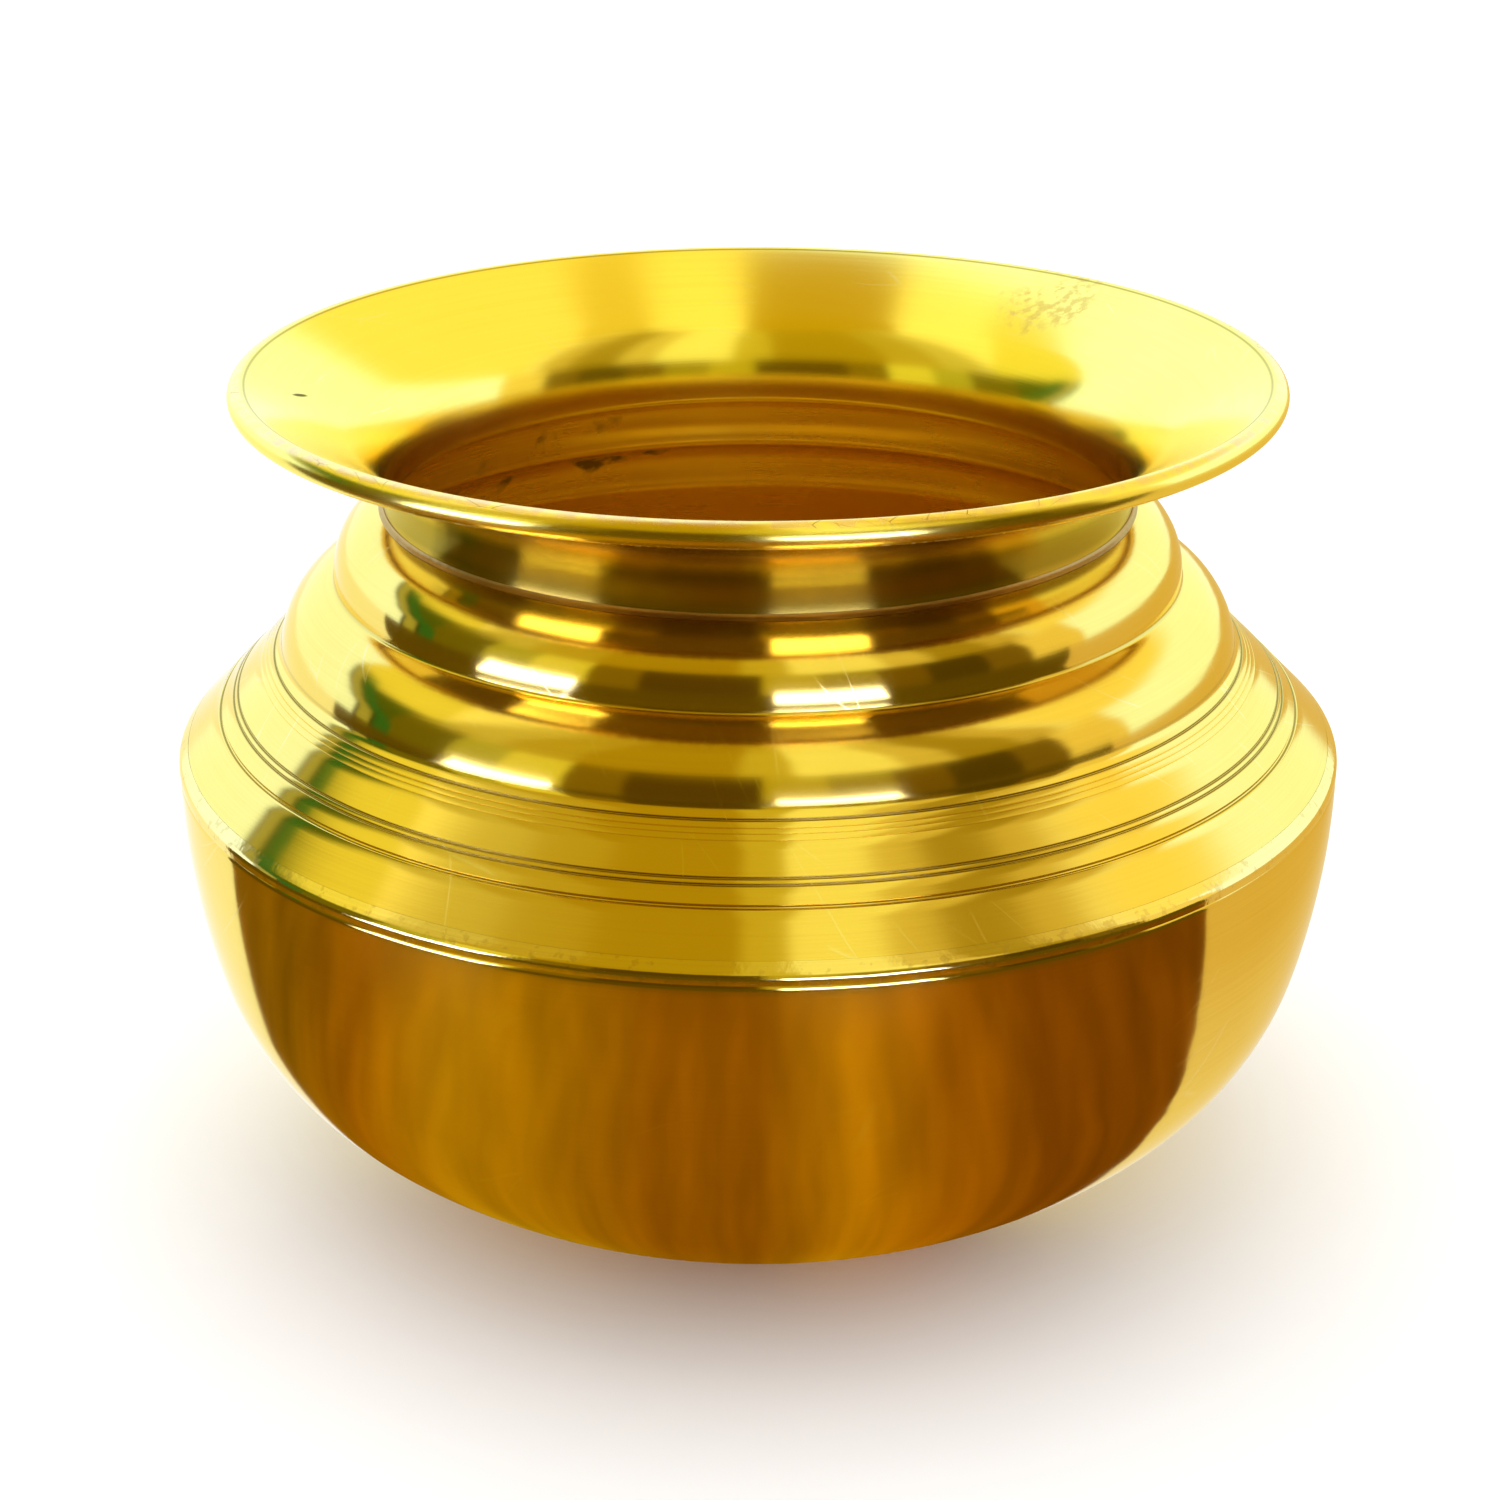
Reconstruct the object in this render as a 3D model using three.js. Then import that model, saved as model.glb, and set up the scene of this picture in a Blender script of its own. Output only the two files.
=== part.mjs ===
// A brass kalash pot: a wide-mouthed water vessel spun from sheet brass in three shells.
// The bowl, the stepped shoulder and the flared mouth are lapped and brazed to each other, and the
// lip is rolled over a wire. Millimetres, +Z up along the pot's axis. The origin is the middle of
// the flat foot, so the pot stands on z = 0.
import * as THREE from "three";

// ---- Driving dimensions ----------------------------------------------------------------------

const SIDES = 48; // facets round the axis

// Sheet and joints
const BODY_SHEET = 1.2; // bowl and shoulder
const MOUTH_SHEET = 1.0; // neck, flare and rolled lip
const LAP_GAP = 0.2; // between lapped sheets
const BRAZE_GAP = 0.15; // between a braze bead and the sheets it joins

// Bowl, from the ridge down to the foot
const BELLY = { radius: 108.15, height: 80.9 }; // widest place, where the wall is upright
const BELLY_ARC = { radius: 137.5, sweep: 14.4 };
const TURN_ARC = { radius: 50.8, sweep: 33.9 };
const FOOT_ARC_RADIUS = 88.8; // runs down to the flat foot
const BOWL_FLANGE = 8; // length turned in under the shoulder
const BOWL_BEND = 2; // outer radius of that turn
const RIDGE = { round: 2, upright: 1, chamfer: 0.45 }; // filed ridge: outer radius, flat, lower edge

// Shoulder, from its edge at the ridge up to its hole
const CONE_SUM = 192.8; // radius plus height, the same all along the 45 degree cone
const CONE_EDGE_RADIUS = 106.3;
const CONE_TOP_RADIUS = 88.3;
const LOWER_RIB = { radius: 14, top: 116.6, lean: 15, sweep: 66 }; // lean and sweep in degrees
const UPPER_RIB = { foot: 78, radius: 12, top: 129.9 };
const NECK_HOLE = 69.15;

// Score lines turned into the cone: distance from the axis, and depth
const SCORES = [
  { radius: 89.6, depth: 0.25 },
  { radius: 96.6, depth: 0.25 },
  { radius: 97.4, depth: 0.25 },
  { radius: 100, depth: 0.4 },
];

// Neck and mouth
const NECK_BORE = 67.5;
const NECK_FOOT = 130; // where the neck leaves the shoulder
const COLLAR = { tip: 50, bend: 1.6 }; // peened edge under the shoulder: tip in degrees, bend radius
const NECK_CURVE = { radius: 17.1, sweep: 55 };
const FLARE_CURVE = { radius: 113, sweep: 10 };
const LIP = { radius: 2.2, wrap: 240 }; // wrap in degrees, from the top of the lip
const WIRE_CLEARANCE = 0.12;
const NECK_FILLET = { leg: 1.1, slope: 0.3, sunk: 0.3 }; // slope as a share of the leg

// Finishes
const POLISHED = { color: 0xc9a227, roughness: 0.15, metalness: 1 };
const SATIN = { color: 0xd4b040, roughness: 0.3, metalness: 1 };
const SPELTER = { color: 0xb07a3a, roughness: 0.4, metalness: 1 };
const DRAWN_WIRE = { color: 0xb8962e, roughness: 0.45, metalness: 1 };

// ---- Outlines --------------------------------------------------------------------------------

const radians = THREE.MathUtils.degToRad;
const degrees = THREE.MathUtils.radToDeg;

// A half-section drawn like a pen stroke. x is the distance from the axis and y the height.
// Headings are in degrees: 0 points away from the axis and 90 up.
class Stroke {
  constructor(r, z, heading) {
    this.points = [new THREE.Vector2(r, z)];
    this.heading = heading;
  }

  get end() {
    return this.points[this.points.length - 1];
  }

  to(r, z) {
    this.points.push(new THREE.Vector2(r, z));
    return this;
  }

  line(length) {
    const angle = radians(this.heading);
    return this.to(this.end.x + length * Math.cos(angle), this.end.y + length * Math.sin(angle));
  }

  face(heading) {
    this.heading = heading;
    return this;
  }

  // The centre of an arc that turns right from here, or left when the radius is negative.
  centre(radius) {
    const angle = radians(this.heading);
    return new THREE.Vector2(
      this.end.x + radius * Math.sin(angle),
      this.end.y - radius * Math.cos(angle),
    );
  }

  right(radius, sweep, steps) {
    const centre = this.centre(radius);
    const start = this.heading;
    for (let i = 1; i <= steps; i++) {
      this.heading = start - (Math.sign(radius) * sweep * i) / steps;
      const angle = radians(this.heading);
      this.to(centre.x - radius * Math.sin(angle), centre.y + radius * Math.cos(angle));
    }
    return this;
  }

  left(radius, sweep, steps) {
    return this.right(-radius, sweep, steps);
  }
}

// The same line moved to its right by a distance, with its corners kept sharp.
function moved(points, distance) {
  const rightOf = (a, b) => new THREE.Vector2(b.y - a.y, a.x - b.x).normalize();
  const last = points.length - 1;
  return points.map((point, i) => {
    const before = rightOf(points[Math.max(i - 1, 0)], points[Math.max(i, 1)]);
    const after = rightOf(points[Math.min(i, last - 1)], points[Math.min(i + 1, last)]);
    const middle = before.clone().add(after).normalize();
    return point.clone().addScaledVector(middle, distance / middle.dot(before));
  });
}

// A line across the cone with each score line cut into it as a V.
function scored(from, to) {
  const along = to.clone().sub(from).normalize();
  const inward = new THREE.Vector2(along.y, -along.x);
  const cuts = SCORES.flatMap(({ radius, depth }) => {
    const middle = from.clone().addScaledVector(along, (radius - from.x) / along.x);
    return [
      middle.clone().addScaledVector(along, -depth),
      middle.clone().addScaledVector(inward, depth),
      middle.clone().addScaledVector(along, depth),
    ];
  });
  return [from, ...cuts, to];
}

// A turned solid from a closed half-section. One that starts on the axis also ends on it.
function turned(name, section, finish) {
  const outline = section.map((point) => point.clone());
  if (THREE.ShapeUtils.isClockWise(outline)) outline.reverse();
  if (outline.every((point) => point.x > 0)) outline.push(outline[0].clone());
  const geometry = new THREE.LatheGeometry(outline, SIDES);
  geometry.rotateX(Math.PI / 2);
  const mesh = new THREE.Mesh(geometry, new THREE.MeshStandardMaterial(finish));
  mesh.name = name;
  return mesh;
}

// ---- Lower bowl ------------------------------------------------------------------------------
// One spun shell: a flange turned in under the shoulder, the belly wall, and the flat foot.

function lowerBowl() {
  const flangeSum = CONE_SUM - (BODY_SHEET + LAP_GAP) * Math.SQRT2;
  const corner = { r: BELLY.radius, z: flangeSum - BELLY.radius };
  const reach = BOWL_BEND * Math.tan(radians(45 / 2));
  const flange = BOWL_FLANGE * Math.SQRT1_2;
  const outside = new Stroke(corner.r - flange, corner.z + flange, -45);
  outside.line(BOWL_FLANGE - reach);
  outside.right(BOWL_BEND, 45, 3);
  outside.to(BELLY.radius, BELLY.height);
  outside.right(BELLY_ARC.radius, BELLY_ARC.sweep, 4);
  outside.right(TURN_ARC.radius, TURN_ARC.sweep, 6);
  const footTilt = degrees(Math.acos(outside.centre(FOOT_ARC_RADIUS).y / FOOT_ARC_RADIUS));
  outside.right(FOOT_ARC_RADIUS, 180 + outside.heading - footTilt, 6);
  outside.to(0, 0);
  const inside = moved(outside.points, BODY_SHEET).reverse();
  return turned("lower_bowl", [...inside, ...outside.points], POLISHED);
}

// ---- Shoulder shell --------------------------------------------------------------------------
// One spun shell: two rounded ribs above a scored cone, with the neck's hole at the top.

function shoulderShell() {
  const ribCentre = UPPER_RIB.foot - UPPER_RIB.radius;
  const startAngle = degrees(Math.acos((NECK_HOLE - ribCentre) / UPPER_RIB.radius));
  const rise = UPPER_RIB.radius * Math.sin(radians(startAngle));
  const outside = new Stroke(NECK_HOLE, UPPER_RIB.top - UPPER_RIB.radius + rise, startAngle - 90);
  outside.right(UPPER_RIB.radius, startAngle, 6);
  outside.to(UPPER_RIB.foot, LOWER_RIB.top).face(-LOWER_RIB.lean);
  outside.right(LOWER_RIB.radius, LOWER_RIB.sweep, 6);
  outside.to(CONE_TOP_RADIUS, CONE_SUM - CONE_TOP_RADIUS);
  outside.to(CONE_EDGE_RADIUS, CONE_SUM - CONE_EDGE_RADIUS);
  const inside = moved(outside.points, BODY_SHEET).reverse();
  const edge = outside.points.pop();
  const top = outside.points.pop();
  return turned("shoulder_shell", [...outside.points, ...scored(top, edge), ...inside], POLISHED);
}

// ---- Mouth flare -----------------------------------------------------------------------------
// One spun shell: a collar peened out under the shoulder, the neck, the flare and the rolled lip.

function mouthFlare() {
  const ribCentre = { r: UPPER_RIB.foot - UPPER_RIB.radius, z: UPPER_RIB.top - UPPER_RIB.radius };
  const collarRadius = UPPER_RIB.radius - BODY_SHEET - LAP_GAP - MOUTH_SHEET;
  const bend = COLLAR.bend;
  // The collar ends where the bend up to the neck bore takes over.
  const neckAngle = Math.acos((NECK_BORE + bend - ribCentre.r) / (collarRadius + bend));
  const tip = radians(COLLAR.tip);
  const inside = new Stroke(
    ribCentre.r + collarRadius * Math.cos(tip),
    ribCentre.z + collarRadius * Math.sin(tip),
    COLLAR.tip + 90,
  );
  inside.left(collarRadius, degrees(neckAngle) - COLLAR.tip, 2);
  inside.right(bend, degrees(neckAngle), 3);
  inside.to(NECK_BORE, NECK_FOOT);
  inside.right(NECK_CURVE.radius, NECK_CURVE.sweep, 6);
  inside.right(FLARE_CURVE.radius, FLARE_CURVE.sweep, 3);
  const lipCentre = inside.centre(LIP.radius);
  inside.right(LIP.radius, inside.heading, 1);
  inside.right(LIP.radius, LIP.wrap, 8);
  const section = [...inside.points, ...moved(inside.points, MOUTH_SHEET).reverse()];
  return { mesh: turned("mouth_flare", section, SATIN), lipCentre };
}

// ---- Rim wire --------------------------------------------------------------------------------
// The round wire that the lip is rolled over. It can't be seen once the lip is closed.

function rimWire(lipCentre) {
  const radius = LIP.radius - MOUTH_SHEET - WIRE_CLEARANCE;
  const section = new THREE.EllipseCurve(lipCentre.x, lipCentre.y, radius, radius).getPoints(8);
  return turned("rim_wire", section.slice(0, -1), DRAWN_WIRE);
}

// ---- Braze beads -----------------------------------------------------------------------------
// Rings of spelter that close the two joints. The ridge bead is filed to the ridge's own shape,
// and the neck bead is the small fillet left in the corner where the neck meets the shoulder.

function ridgeBraze() {
  const top = CONE_EDGE_RADIUS + BRAZE_GAP;
  const seat = CONE_SUM - BODY_SHEET * Math.SQRT2;
  const reach = RIDGE.round * Math.tan(radians(45 / 2));
  const outside = new Stroke(top, CONE_SUM - top, -45);
  outside.line((BELLY.radius - top) * Math.SQRT2 - reach);
  outside.right(RIDGE.round, 45, 3);
  outside.line(RIDGE.upright);
  outside.to(BELLY.radius - RIDGE.chamfer, seat - BELLY.radius + RIDGE.chamfer);
  outside.to(top - BODY_SHEET * Math.SQRT1_2, seat - top + BODY_SHEET * Math.SQRT1_2);
  return turned("ridge_braze", outside.points, SPELTER);
}

function neckBraze() {
  const leg = NECK_FILLET.leg;
  const wall = NECK_BORE + MOUTH_SHEET + BRAZE_GAP;
  const floor = NECK_FOOT - NECK_FILLET.sunk + BRAZE_GAP;
  const section = new Stroke(wall, floor, 0);
  section.to(wall + leg, floor - NECK_FILLET.slope * leg);
  section.to(wall + NECK_FILLET.slope * leg, floor + NECK_FILLET.slope * leg);
  section.to(wall, floor + leg);
  return turned("neck_braze", section.points, SPELTER);
}

// ---- The pot ---------------------------------------------------------------------------------

const mouth = mouthFlare();
const pot = new THREE.Group();
pot.add(lowerBowl());
pot.add(shoulderShell());
pot.add(mouth.mesh);
pot.add(rimWire(mouth.lipCentre));
pot.add(ridgeBraze());
pot.add(neckBraze());

export default pot;
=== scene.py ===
# A brass kalash pot: a wide-mouthed water vessel made of three shells spun from sheet brass.
# They are lapped and brazed to each other, and the lip is rolled over a wire.
# The scene is in metres with +Z up; the pot stands on z = 0 round the axis x = y = 0.
import math

import bmesh
import bpy
from mathutils import Euler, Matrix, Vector, noise


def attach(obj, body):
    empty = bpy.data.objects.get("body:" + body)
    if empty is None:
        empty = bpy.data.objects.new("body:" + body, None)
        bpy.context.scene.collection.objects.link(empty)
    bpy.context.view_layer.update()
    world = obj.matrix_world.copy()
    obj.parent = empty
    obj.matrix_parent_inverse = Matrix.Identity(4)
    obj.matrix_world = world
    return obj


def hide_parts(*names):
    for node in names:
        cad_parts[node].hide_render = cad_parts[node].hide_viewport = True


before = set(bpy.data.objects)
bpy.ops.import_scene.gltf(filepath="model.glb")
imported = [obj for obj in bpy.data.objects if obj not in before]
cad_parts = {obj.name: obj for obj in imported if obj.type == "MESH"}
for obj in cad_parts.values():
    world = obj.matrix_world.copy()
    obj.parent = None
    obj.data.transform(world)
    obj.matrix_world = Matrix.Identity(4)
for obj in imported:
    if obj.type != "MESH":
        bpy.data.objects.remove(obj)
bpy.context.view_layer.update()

# ---- Lower bowl ------------------------------------------------------------------------------
# The bowl is one shell spun from 1.2 mm sheet brass: a flat foot, a round belly, and a narrow
# flange turned in under the shoulder. It is buffed on the lathe, so fine lines run round it.
# Outlines are in millimetres: distance from the axis, and height.

MILLIMETRE = 0.001
SIDES = 360
SAME_PLACE = 0.01  # points of an outline nearer than this, in millimetres, are one point
SHARP_TURN = 28  # an edge that turns by more than this many degrees is shaded sharp
BODY_SHEET = 1.2
LAP_GAP = 0.05

BELLY_RADIUS = 108.15
BELLY_HEIGHT = 80.9
BELLY_ARC = 137.5
TURN_ARC = 50.8
FOOT_ARC = 88.8
BELLY_ANGLE = -14.4
TURN_ANGLE = -48.3
CONE_SUM = 192.8  # distance from the axis plus height, the same all along the shoulder's cone
FLANGE = 8
FLANGE_BEND = 2
FLAT_FOOT = [(30, 0), (12, 0), (0, 0)]
ROLLER_STEP = 2.2  # about how far apart the roller's marks lie
DENTS_AT = (142, 42)  # degrees round from the back, and height, of the middle of the dented place
DENTS_REACH = (17, 18)  # how far it spreads, in degrees and in height


def arc(centre, radius, start, end, steps):
    """Points along an arc. Angles are in degrees: 0 points away from the axis and 90 up."""
    points = []
    for i in range(steps + 1):
        angle = math.radians(start + (end - start) * i / steps)
        points.append((centre[0] + radius * math.cos(angle), centre[1] + radius * math.sin(angle)))
    return points


def line(start, end, steps):
    """Points along a straight stretch."""
    share = [i / steps for i in range(steps + 1)]
    return [
        (start[0] + (end[0] - start[0]) * s, start[1] + (end[1] - start[1]) * s) for s in share
    ]


def shifted(point, distance, angle):
    """A point moved by a distance, in the direction of an angle."""
    turn = math.radians(angle)
    return (point[0] + distance * math.cos(turn), point[1] + distance * math.sin(turn))


def joined(*stretches):
    """One outline from several stretches, with doubled points left out."""
    points = []
    for stretch in stretches:
        for point in stretch:
            if not points or math.dist(points[-1], point) > SAME_PLACE:
                points.append(point)
    return points


def far_side(face, thickness):
    """The other side of a sheet: the outline moved to its right, and run backwards."""
    moved = []
    for i, point in enumerate(face):
        before = Vector(face[max(i, 1)]) - Vector(face[max(i - 1, 0)])
        after = Vector(face[min(i + 1, len(face) - 1)]) - Vector(face[min(i, len(face) - 2)])
        right_before = Vector((before.y, -before.x)).normalized()
        right_after = Vector((after.y, -after.x)).normalized()
        middle = (right_before + right_after).normalized()
        moved.append(tuple(Vector(point) + middle * (thickness / middle.dot(right_before))))
    return moved[::-1]


def spun(name, face, back=(), dent=None, sides=SIDES):
    """A closed half-section turned round the axis, with a map that unrolls it in metres.
    The face takes the first material and the back the second. dent gives how far, in
    millimetres, the metal lies nearer to the axis at an angle, a distance and a height."""
    section = [(point, 0) for point in face] + [(point, 1) for point in back]
    points = [point for point, side in section]
    area = sum(a[0] * b[1] - b[0] * a[1] for a, b in zip(points, points[1:] + points[:1]))
    if area < 0:
        section.reverse()
    points = [point for point, side in section]
    lengths = [0]
    for a, b in zip(points, points[1:] + points[:1]):
        lengths.append(lengths[-1] + math.dist(a, b) * MILLIMETRE)
    mesh = bpy.data.meshes.new(name)
    build = bmesh.new()
    rings = []
    for r, z in points:
        ring = []
        for i in range(sides):
            angle = 2 * math.pi * i / sides
            inward = dent(angle, r, z) if dent and r > 1 else 0
            out = (r - inward) * MILLIMETRE
            place = (out * math.sin(angle), out * math.cos(angle), z * MILLIMETRE)
            ring.append(build.verts.new(place))
        rings.append(ring)
    unrolled = build.loops.layers.uv.new("unrolled")
    reaches_axis = min(points[0][0], points[-1][0]) < SAME_PLACE
    for j in range(len(rings) - (1 if reaches_axis else 0)):
        nearby = (j + 1) % len(rings)
        for i in range(sides):
            corners = [(i, j, j), (i, nearby, j + 1), (i + 1, nearby, j + 1), (i + 1, j, j)]
            quad = build.faces.new([rings[row][n % sides] for n, row, step in corners])
            quad.material_index = min(section[j][1], section[nearby][1])
            for loop, (n, row, step) in zip(quad.loops, corners):
                around = 2 * math.pi * n / sides * BELLY_RADIUS * MILLIMETRE
                loop[unrolled].uv = (around, lengths[step])
    bmesh.ops.remove_doubles(build, verts=build.verts, dist=1e-7)
    bmesh.ops.dissolve_degenerate(build, edges=build.edges, dist=1e-8)
    build.to_mesh(mesh)
    build.free()
    mesh.shade_smooth()
    mesh.set_sharp_from_angle(angle=math.radians(SHARP_TURN))
    made = bpy.data.objects.new(name, mesh)
    bpy.context.scene.collection.objects.link(made)
    return made


def node(tree, kind, inputs=None, **settings):
    """A material node. Each input is a plain value, or the socket that it is linked from."""
    made = tree.nodes.new("ShaderNode" + kind)
    for name, value in settings.items():
        setattr(made, name, value)
    for name, value in (inputs or {}).items():
        if isinstance(value, bpy.types.NodeSocket):
            tree.links.new(value, made.inputs[name])
        else:
            made.inputs[name].default_value = value
    return made


def ramp(tree, amount, stops):
    """Colours along an amount from 0 to 1. A plain number stands for a grey."""
    made = node(tree, "ValToRGB", {"Fac": amount})
    points = made.color_ramp.elements
    while len(points) < len(stops):
        points.new(0.5)
    for point, (place, colour) in zip(points, stops):
        point.position = place
        point.color = (*colour, 1) if isinstance(colour, tuple) else (colour, colour, colour, 1)
    return made.outputs["Color"]


def mixed(tree, amount, under, over, blend="MIX"):
    """The second colour laid over the first by an amount."""
    made = tree.nodes.new("ShaderNodeMix")
    made.data_type = "RGBA"
    made.blend_type = blend
    for name, value in (("Factor", amount), ("A", under), ("B", over)):
        kinds = ("VALUE",) if name == "Factor" else ("RGBA",)
        socket = next(s for s in made.inputs if s.name == name and s.type in kinds)
        if isinstance(value, bpy.types.NodeSocket):
            tree.links.new(value, socket)
        else:
            socket.default_value = value if name == "Factor" else (*value, 1)
    return next(s for s in made.outputs if s.type == "RGBA")


def sum_of(tree, first, second, operation="ADD", **settings):
    """Simple arithmetic on two values."""
    return node(tree, "Math", {0: first, 1: second}, operation=operation, **settings).outputs[0]


EDGE_TINT = (1.0, 0.92, 0.6, 1)  # brass stays yellow where it is seen edge-on
LATHE_LINES = 2300  # to the metre
CLOUDS = 38  # to the metre


class Brass:
    """A spun brass finish: lathe lines, hairline scratches, cloudy handling marks and stains."""

    def __init__(self, name, colour, deep_colour, roughness, brushed):
        self.material = bpy.data.materials.new(name)
        self.material.use_nodes = True
        self.tree = self.material.node_tree
        self.tree.nodes.clear()
        self.place = node(self.tree, "TexCoord").outputs["Object"]
        self.unrolled = node(self.tree, "UVMap", uv_map="unrolled").outputs["UV"]
        self.shader = node(self.tree, "BsdfPrincipled")
        self.shader.inputs["Metallic"].default_value = 1
        self.shader.inputs["Specular Tint"].default_value = EDGE_TINT
        self.shader.inputs["Anisotropic"].default_value = brushed
        self.shader.inputs["Anisotropic Rotation"].default_value = 0.25
        around = node(self.tree, "Tangent", direction_type="RADIAL", axis="Z").outputs["Tangent"]
        self.tree.links.new(around, self.shader.inputs["Tangent"])
        self.lines = self.lathe_lines(LATHE_LINES)
        self.cloud = self.mottle(CLOUDS, 5)
        faint = sum_of(self.tree, self.lines, 0.5, "MULTIPLY")
        grey = sum_of(self.tree, faint, self.cloud, "MULTIPLY")
        self.colour = ramp(self.tree, grey, [(0.05, colour), (0.5, deep_colour)])
        low = roughness * 0.85
        high = roughness * 1.25
        spread = ramp(self.tree, self.cloud, [(0.3, low), (0.72, high)])
        lined = ramp(self.tree, self.lines, [(0.3, low), (0.8, high)])
        self.roughness = mixed(self.tree, 0.35, spread, lined)
        self.height = self.lines

    def mottle(self, scale, detail, offset=(0, 0, 0)):
        """Cloudy patches, that many to the metre."""
        moved = node(self.tree, "VectorMath", {0: self.place, 1: offset}, operation="ADD").outputs[0]
        clouds = node(self.tree, "TexNoise", {"Vector": moved, "Scale": scale, "Detail": detail})
        return clouds.outputs["Fac"]

    def lathe_lines(self, per_metre):
        """Fine lines that follow the turning and slowly fade in and out on the way round."""
        flat = node(self.tree, "VectorMath", {0: self.place, 1: (1, 1, 0)}, operation="MULTIPLY")
        radius = node(self.tree, "VectorMath", {0: flat.outputs[0]}, operation="LENGTH")
        height = node(self.tree, "SeparateXYZ", {"Vector": self.place}).outputs["Z"]
        turning = node(self.tree, "CombineXYZ", {"X": radius.outputs["Value"], "Y": height}).outputs[0]
        fine = node(self.tree, "VectorMath", {0: turning, "Scale": per_metre}, operation="SCALE")
        slow = node(self.tree, "VectorMath", {0: self.place, "Scale": 22}, operation="SCALE")
        both = node(self.tree, "VectorMath", {0: fine.outputs[0], 1: slow.outputs[0]}, operation="ADD")
        lines = node(self.tree, "TexNoise", {"Vector": both.outputs[0], "Scale": 1, "Detail": 2})
        return lines.outputs["Fac"]

    def hairlines(self, angle, stretch, per_metre, sparse):
        """Thin straight scratches, all roughly along one angle on the unrolled sheet."""
        turned = node(
            self.tree, "Mapping", {"Vector": self.unrolled, "Rotation": (0, 0, math.radians(angle))}
        )
        bend = node(self.tree, "TexNoise", {"Vector": turned.outputs[0], "Scale": 14})
        bent = node(
            self.tree, "VectorMath", {0: bend.outputs["Color"], "Scale": 0.03}, operation="SCALE"
        )
        place = node(
            self.tree, "VectorMath", {0: turned.outputs[0], 1: bent.outputs[0]}, operation="ADD"
        )
        thin = node(
            self.tree, "VectorMath", {0: place.outputs[0], 1: (1, stretch, 1)}, operation="MULTIPLY"
        )
        cells = node(
            self.tree, "TexVoronoi", {"Vector": thin.outputs[0], "Scale": per_metre},
            feature="DISTANCE_TO_EDGE", voronoi_dimensions="2D",
        )
        scratch = ramp(self.tree, cells.outputs["Distance"], [(0.0, 1.0), (0.02, 0.0)])
        patches = node(self.tree, "TexNoise", {"Vector": self.unrolled, "Scale": 45, "Detail": 1})
        kept = ramp(self.tree, patches.outputs["Fac"], [(sparse, 0.0), (sparse + 0.06, 1.0)])
        return sum_of(self.tree, scratch, kept, "MULTIPLY")

    def patch(self, centre, size, ragged=0.5, turn=0):
        """A soft-edged spot round a place, in millimetres, turned by degrees about the axis."""
        middle = tuple(c * MILLIMETRE for c in centre)
        reach = tuple(1 / (s * MILLIMETRE) for s in size)
        away = node(self.tree, "VectorMath", {0: self.place, 1: middle}, operation="SUBTRACT")
        turned = node(
            self.tree, "VectorRotate", {"Vector": away.outputs[0], "Angle": math.radians(turn)},
            rotation_type="Z_AXIS",
        )
        scaled = node(self.tree, "VectorMath", {0: turned.outputs[0], 1: reach}, operation="MULTIPLY")
        distance = node(self.tree, "VectorMath", {0: scaled.outputs[0]}, operation="LENGTH")
        edge = self.mottle(120, 4, middle)
        wobble = sum_of(self.tree, sum_of(self.tree, edge, 0.5, "SUBTRACT"), ragged * 3, "MULTIPLY")
        uneven = sum_of(self.tree, distance.outputs["Value"], wobble)
        return ramp(self.tree, uneven, [(0.55, 1.0), (1.0, 0.0)])

    def band(self, low, high, soft, upright=True):
        """1 between two heights, or two distances from the axis, in millimetres."""
        if upright:
            along = node(self.tree, "SeparateXYZ", {"Vector": self.place}).outputs["Z"]
        else:
            flat = node(self.tree, "VectorMath", {0: self.place, 1: (1, 1, 0)}, operation="MULTIPLY")
            along = node(
                self.tree, "VectorMath", {0: flat.outputs[0]}, operation="LENGTH"
            ).outputs["Value"]
        rise = node(
            self.tree, "MapRange",
            {
                "Value": along,
                "From Min": (low - soft) * MILLIMETRE,
                "From Max": (low + soft) * MILLIMETRE,
            },
        )
        fall = node(
            self.tree, "MapRange",
            {
                "Value": along,
                "From Min": (high + soft) * MILLIMETRE,
                "From Max": (high - soft) * MILLIMETRE,
            },
        )
        return sum_of(self.tree, rise.outputs[0], fall.outputs[0], "MULTIPLY")

    def stain(self, amount, colour, roughness=None):
        """Lays a colour over the metal, and a roughness with it."""
        self.colour = mixed(self.tree, amount, self.colour, colour)
        if roughness is not None:
            self.roughness = mixed(self.tree, amount, self.roughness, (roughness,) * 3)

    def finished(self, relief):
        """Joins everything to the shader. relief is the depth of the lathe lines in millimetres."""
        self.tree.links.new(self.colour, self.shader.inputs["Base Color"])
        self.tree.links.new(self.roughness, self.shader.inputs["Roughness"])
        bump = node(
            self.tree, "Bump", {"Height": self.height, "Strength": 1, "Distance": relief * MILLIMETRE}
        )
        self.tree.links.new(bump.outputs["Normal"], self.shader.inputs["Normal"])
        output = node(self.tree, "OutputMaterial")
        self.tree.links.new(self.shader.outputs["BSDF"], output.inputs["Surface"])
        return self.material


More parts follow.
